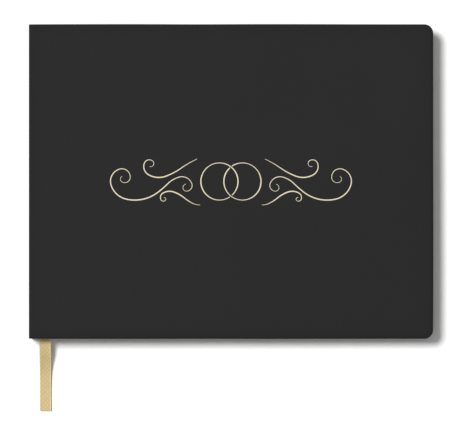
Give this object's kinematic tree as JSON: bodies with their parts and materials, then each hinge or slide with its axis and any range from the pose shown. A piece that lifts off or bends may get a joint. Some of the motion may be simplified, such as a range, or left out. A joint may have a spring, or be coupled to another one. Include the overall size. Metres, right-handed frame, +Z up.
{
  "type": "wedding guest book",
  "caption": "Landscape guest book with a soft-touch dark cover, flat spine, rounded fore-edge corners, a stamped gold ornament and a gold ribbon marker.",
  "frame": {"origin": "on the surface that the book lies on, under the middle of the covers; the ribbon's tail isn't counted", "axes": "+X from the spine to the fore-edge, +Y from the tail to the head, +Z up out of the front cover"},
  "size_m": [0.2286, 0.2191, 0.018],
  "materials": {
    "soft_touch_wrap": "matte soft-touch charcoal black",
    "greyboard": "raw",
    "lining_paper": "uncoated",
    "endpaper": "uncoated ivory",
    "page_paper": "uncoated ivory",
    "mull_gauze": "open weave",
    "linen_thread": "waxed",
    "band_cloth": "wrapped thread",
    "gold_ribbon": "fine woven champagne gold",
    "gold_foil": "stamped satin foil"
  },
  "bodies": {
    "text_block": {"spine_skin": "soft_touch_wrap", "spine_board": "greyboard", "spine_liner": "lining_paper", "mull": "mull_gauze", "sewing_thread": "linen_thread", "headband": "band_cloth", "tailband": "band_cloth", "section_1": "page_paper", "section_2": "page_paper", "section_3": "page_paper", "section_4": "page_paper", "section_5": "page_paper", "section_6": "page_paper", "back_flyleaf": "endpaper", "ribbon_in_pages": "gold_ribbon"},
    "front_cover": {"front_cover_skin": "soft_touch_wrap", "front_board": "greyboard", "front_infill": "lining_paper", "front_pastedown": "endpaper", "foil_ornament": "gold_foil"},
    "back_cover": {"back_cover_skin": "soft_touch_wrap", "back_board": "greyboard", "back_infill": "lining_paper", "back_pastedown": "endpaper"},
    "flyleaf": {"front_flyleaf": "endpaper"},
    "leaf_1": {"guest_leaf_1": "page_paper"},
    "leaf_2": {"guest_leaf_2": "page_paper"},
    "leaf_3": {"guest_leaf_3": "page_paper"},
    "leaf_4": {"guest_leaf_4": "page_paper"},
    "ribbon": {"ribbon_tail": "gold_ribbon"}
  },
  "joints": [
    {"name": "front_cover_hinge", "type": "hinge", "parent": "text_block", "child": "front_cover", "pos_m": [-0.11445, 0, 0.01473], "axis": [0, -1, 0], "range_deg": [0, 179]},
    {"name": "back_cover_hinge", "type": "hinge", "parent": "text_block", "child": "back_cover", "pos_m": [-0.11445, 0, 0.00328], "axis": [0, 1, 0], "range_deg": [0, 179]},
    {"name": "flyleaf_turn", "type": "hinge", "parent": "text_block", "child": "flyleaf", "pos_m": [-0.11055, 0, 0.0145], "axis": [0, -1, 0], "range_deg": [0, 168]},
    {"name": "leaf_1_turn", "type": "hinge", "parent": "text_block", "child": "leaf_1", "pos_m": [-0.11055, 0, 0.0142], "axis": [0, -1, 0], "range_deg": [0, 144]},
    {"name": "leaf_2_turn", "type": "hinge", "parent": "text_block", "child": "leaf_2", "pos_m": [-0.11055, 0, 0.0139], "axis": [0, -1, 0], "range_deg": [0, 108]},
    {"name": "leaf_3_turn", "type": "hinge", "parent": "text_block", "child": "leaf_3", "pos_m": [-0.11055, 0, 0.0136], "axis": [0, -1, 0], "range_deg": [0, 60]},
    {"name": "leaf_4_turn", "type": "hinge", "parent": "text_block", "child": "leaf_4", "pos_m": [-0.11055, 0, 0.0133], "axis": [0, -1, 0], "range_deg": [0, 24]},
    {"name": "ribbon_lift", "type": "hinge", "parent": "text_block", "child": "ribbon", "pos_m": [-0.1055, -0.08605, 0.0084], "axis": [-1, 0, 0], "range_deg": [0, 50]}
  ],
  "couplings": [
    {"joint": "flyleaf_turn", "follows": "front_cover_hinge", "ratio": 0.93855},
    {"joint": "leaf_1_turn", "follows": "front_cover_hinge", "ratio": 0.80447},
    {"joint": "leaf_2_turn", "follows": "front_cover_hinge", "ratio": 0.60335},
    {"joint": "leaf_3_turn", "follows": "front_cover_hinge", "ratio": 0.3352},
    {"joint": "leaf_4_turn", "follows": "front_cover_hinge", "ratio": 0.13408}
  ]
}
